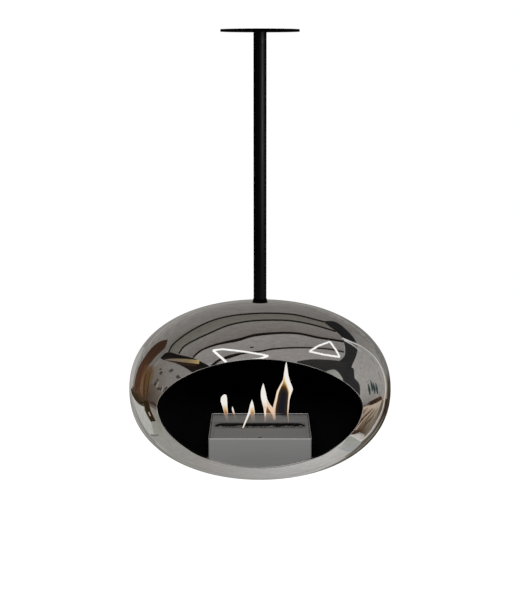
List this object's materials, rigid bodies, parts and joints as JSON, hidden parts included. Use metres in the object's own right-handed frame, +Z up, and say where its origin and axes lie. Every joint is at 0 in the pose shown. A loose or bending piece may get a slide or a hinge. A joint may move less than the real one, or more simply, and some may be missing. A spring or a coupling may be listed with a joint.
{
  "type": "hanging fireplace",
  "caption": "Oval mirror-bright steel fireplace body on a swivelling ceiling pole, open at the front, with a lift-out ethanol burner and a sliding lid.",
  "frame": {"origin": "centre of the ceiling plate's top face, which lies against the ceiling", "axes": "+Z up, out of the plate into the ceiling; the opening faces -Y; +X is to the right seen from the front"},
  "size_m": [0.55, 0.509, 0.927],
  "materials": {
    "black_paint": "matt black powder coat",
    "dark_chrome": "polished dark chrome, mirror bright",
    "heat_black": "matt black heat-proof paint",
    "casing_steel": "brushed steel, satin",
    "top_steel": "brushed steel, satin, warmed by use",
    "tank_steel": "mill-finish steel",
    "bearing_steel": "ground and polished",
    "cage_brass": "pressed brass",
    "zinc_steel": "bright zinc plate",
    "pad_ceramic": "pressed ceramic fibre, matt",
    "wool": "loose ceramic fibre, matt"
  },
  "bodies": {
    "ceiling_mount": {"ceiling_plate": "black_paint", "hanger_socket": "black_paint", "bearing_lower_race": "bearing_steel"},
    "ball_ring": {"bearing_balls": "bearing_steel", "bearing_cage": "cage_brass"},
    "hanging_body": {"bearing_upper_race": "bearing_steel", "swivel_washer": "zinc_steel", "swivel_bolt": "zinc_steel", "swivel_lock_nut": "zinc_steel", "pole_top_plug": "zinc_steel", "pole_tube": "black_paint", "pole_bottom_plug": "zinc_steel", "collar_ring": "black_paint", "outer_shell": "dark_chrome", "crown_spacer": "pad_ceramic", "inner_liner": "heat_black", "liner_pads": "pad_ceramic", "crown_plate": "heat_black", "hang_washer": "zinc_steel", "hang_bolt": "zinc_steel", "hearth_studs": "zinc_steel", "hearth_plate": "heat_black", "hearth_screws": "zinc_steel", "burner_casing": "casing_steel"},
    "burner": {"tank_feet": "pad_ceramic", "fuel_tank": "tank_steel", "tank_top": "top_steel", "wool_basket": "tank_steel", "ceramic_wool": "wool", "lid_rail_left": "top_steel", "lid_rail_right": "top_steel"},
    "lid": {"sliding_lid": "top_steel"}
  },
  "joints": [
    {"name": "swivel", "type": "hinge", "parent": "ceiling_mount", "child": "hanging_body", "pos_m": [0, 0, -0.0305], "axis": [0, 0, 1], "continuous": true},
    {"name": "cage_turn", "type": "hinge", "parent": "ceiling_mount", "child": "ball_ring", "pos_m": [0, 0, -0.021], "axis": [0, 0, 1], "continuous": true},
    {"name": "burner_lift", "type": "slide", "parent": "hanging_body", "child": "burner", "axis": [0, 0, 1], "range_m": [0, 0.08]},
    {"name": "lid_slide", "type": "slide", "parent": "burner", "child": "lid", "axis": [0, 1, 0], "range_m": [0, 0.056]}
  ],
  "couplings": [
    {"joint": "cage_turn", "follows": "swivel", "ratio": 0.5}
  ]
}
